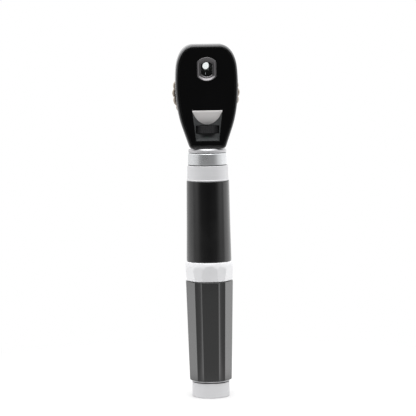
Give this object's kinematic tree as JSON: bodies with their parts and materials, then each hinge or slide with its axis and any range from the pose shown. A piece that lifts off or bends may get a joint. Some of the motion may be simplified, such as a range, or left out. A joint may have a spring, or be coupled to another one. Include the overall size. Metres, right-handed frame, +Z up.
{
  "type": "direct ophthalmoscope",
  "caption": "Handheld direct ophthalmoscope: black optical head with lens dial and aperture wheel, plugged into a slim battery handle with a faceted brightness ring.",
  "frame": {"origin": "centre of the end cap's base face, on which the instrument stands", "axes": "+Z up along the handle to the head, -Y the patient side with the window, +Y the examiner's side with the brow rest, +X to the right of someone facing the patient side"},
  "size_m": [0.0458, 0.0355, 0.2401],
  "materials": {
    "turned_aluminium": "satin turned, clear anodised",
    "ring_aluminium": "satin, machined flats",
    "connector_metal": "satin plated",
    "polished_steel": "polished",
    "silver_trim": "bead-blasted satin",
    "bezel_metal": "satin, bevelled",
    "steel": "machined",
    "brass": "machined",
    "black_metal": "matt black against stray light",
    "black_grip": "satin black anodised, six flats and six flutes",
    "black_tube": "satin black anodised",
    "black_casing": "moulded, semi-gloss",
    "gloss_panel": "smooth inlaid plate",
    "black_plastic": "moulded",
    "wheel_plastic": "moulded, ribbed rim",
    "white_plastic": "moulded",
    "beige_plastic": "soft-touch scalloped rim",
    "circuit_board": "solder mask",
    "carbon": "printed carbon",
    "cell_wrap": "shrink wrap",
    "rubber": "soft matt",
    "glass": "clear coated",
    "filter_glass": "coloured",
    "mirror": "front-silvered"
  },
  "bodies": {
    "handle": {"battery_tube": "turned_aluminium", "grip_sleeve": "black_grip", "battery_cell": "cell_wrap", "battery_terminal": "steel", "contact_disc": "black_plastic", "positive_contact": "brass", "ring_journal": "turned_aluminium", "rheostat_board": "circuit_board", "carbon_track": "carbon", "board_carrier": "white_plastic", "driver_board": "circuit_board", "upper_tube": "black_tube", "neck_collar": "turned_aluminium", "collar_washer": "black_plastic", "lock_collar": "polished_steel", "socket_liner": "steel", "socket_insulator": "white_plastic", "contact_spring": "steel", "conductor_rod": "brass"},
    "end_cap": {"end_cap": "turned_aluminium", "cap_seal": "rubber", "battery_spring": "steel"},
    "control_ring": {"control_ring": "ring_aluminium", "drive_key": "steel", "rheostat_rotor": "black_plastic", "rotor_wiper": "brass"},
    "contact_pin": {"contact_pin": "brass"},
    "head": {"front_shell": "black_casing", "rear_shell": "black_casing", "front_plate": "gloss_panel", "head_screws": "steel", "scoop_trim": "silver_trim", "window_bezel": "bezel_metal", "window_glass": "glass", "mirror": "mirror", "mirror_bracket": "black_metal", "optics_tube": "black_metal", "condenser_lens": "glass", "focusing_lens": "glass", "wheel_bracket": "black_metal", "wheel_axle": "steel", "lamp_base": "brass", "lamp_bulb": "glass", "lamp_holder": "white_plastic", "lamp_contact": "brass", "spigot": "steel", "connector_ring": "connector_metal", "spigot_nut": "brass", "dial_axle": "steel", "dial_click_spring": "steel", "readout_window": "glass", "eyepiece_ring": "black_metal", "eyepiece_glass": "glass", "brow_rest": "rubber"},
    "lens_dial": {"lens_dial": "black_plastic", "dial_rim": "beige_plastic", "dial_lenses": "glass", "number_ring": "white_plastic"},
    "aperture_wheel": {"aperture_wheel": "wheel_plastic", "wheel_filters": "filter_glass"}
  },
  "joints": [
    {"name": "head_release", "type": "slide", "parent": "handle", "child": "head", "axis": [0, 0, 1], "range_m": [0, 0.022]},
    {"name": "lens_dial_turn", "type": "hinge", "parent": "head", "child": "lens_dial", "pos_m": [0, 0.0107, 0.207], "axis": [0, 1, 0], "continuous": true},
    {"name": "aperture_wheel_turn", "type": "hinge", "parent": "head", "child": "aperture_wheel", "pos_m": [0, -0.0012, 0.18285], "axis": [0, 0, 1], "continuous": true},
    {"name": "control_ring_turn", "type": "hinge", "parent": "handle", "child": "control_ring", "pos_m": [0, 0, 0.0865], "axis": [0, 0, 1], "range_deg": [0, 120]},
    {"name": "contact_pin_travel", "type": "slide", "parent": "handle", "child": "contact_pin", "axis": [0, 0, 1], "range_m": [-0.0015, 0], "stiffness_N_per_m": 400, "springref_m": 0.0005, "deforming": ["contact_spring"]},
    {"name": "end_cap_turn", "type": "hinge", "parent": "handle", "child": "end_cap", "pos_m": [0, 0, 0.005], "axis": [0, 0, 1], "range_deg": [-1080, 0]}
  ]
}
